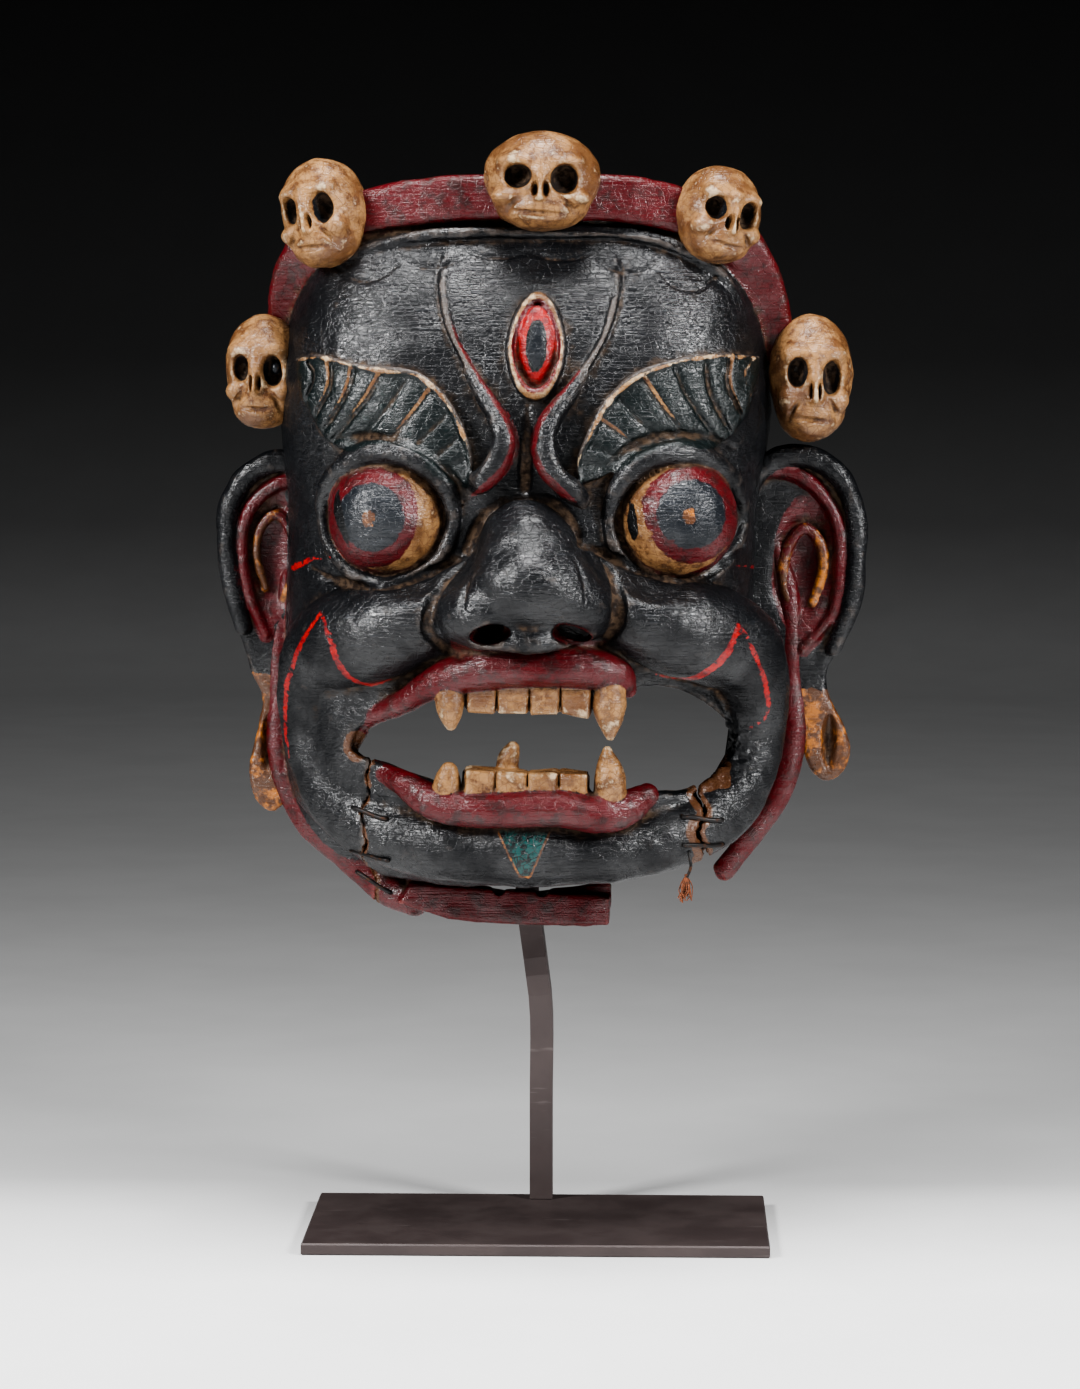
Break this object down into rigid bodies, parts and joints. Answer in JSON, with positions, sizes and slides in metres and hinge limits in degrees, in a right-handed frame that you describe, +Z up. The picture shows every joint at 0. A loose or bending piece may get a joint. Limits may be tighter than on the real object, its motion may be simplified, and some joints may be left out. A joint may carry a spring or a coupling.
{
  "type": "tibetan cham mask",
  "caption": "Carved and painted wooden dance mask of a wrathful protector with a crown of skulls and a repaired jaw, on a steel stem and base plate.",
  "frame": {"origin": "centre of the base plate's underside", "axes": "+X to the viewer's right, -Y the way the face looks, +Z up"},
  "size_m": [0.3369, 0.1721, 0.5603],
  "materials": {
    "painted_wood": "old carved wood under worn glossy black paint, with crimson lips, band and rim, ivory skulls, teeth and eyes, green and tan accents, dust in the hollows",
    "iron_wire": "dark rusted iron wire",
    "bronzed_steel": "satin dark brown coated steel with light scuffs"
  },
  "bodies": {
    "root": {"mask_carving": "painted_wood", "jaw_carving": "painted_wood", "left_stitch_upper": "iron_wire", "left_stitch_lower": "iron_wire", "right_stitch_upper": "iron_wire", "right_stitch_lower": "iron_wire", "left_rim_staple": "iron_wire", "stand_stem": "bronzed_steel", "stand_base": "bronzed_steel"}
  },
  "joints": []
}
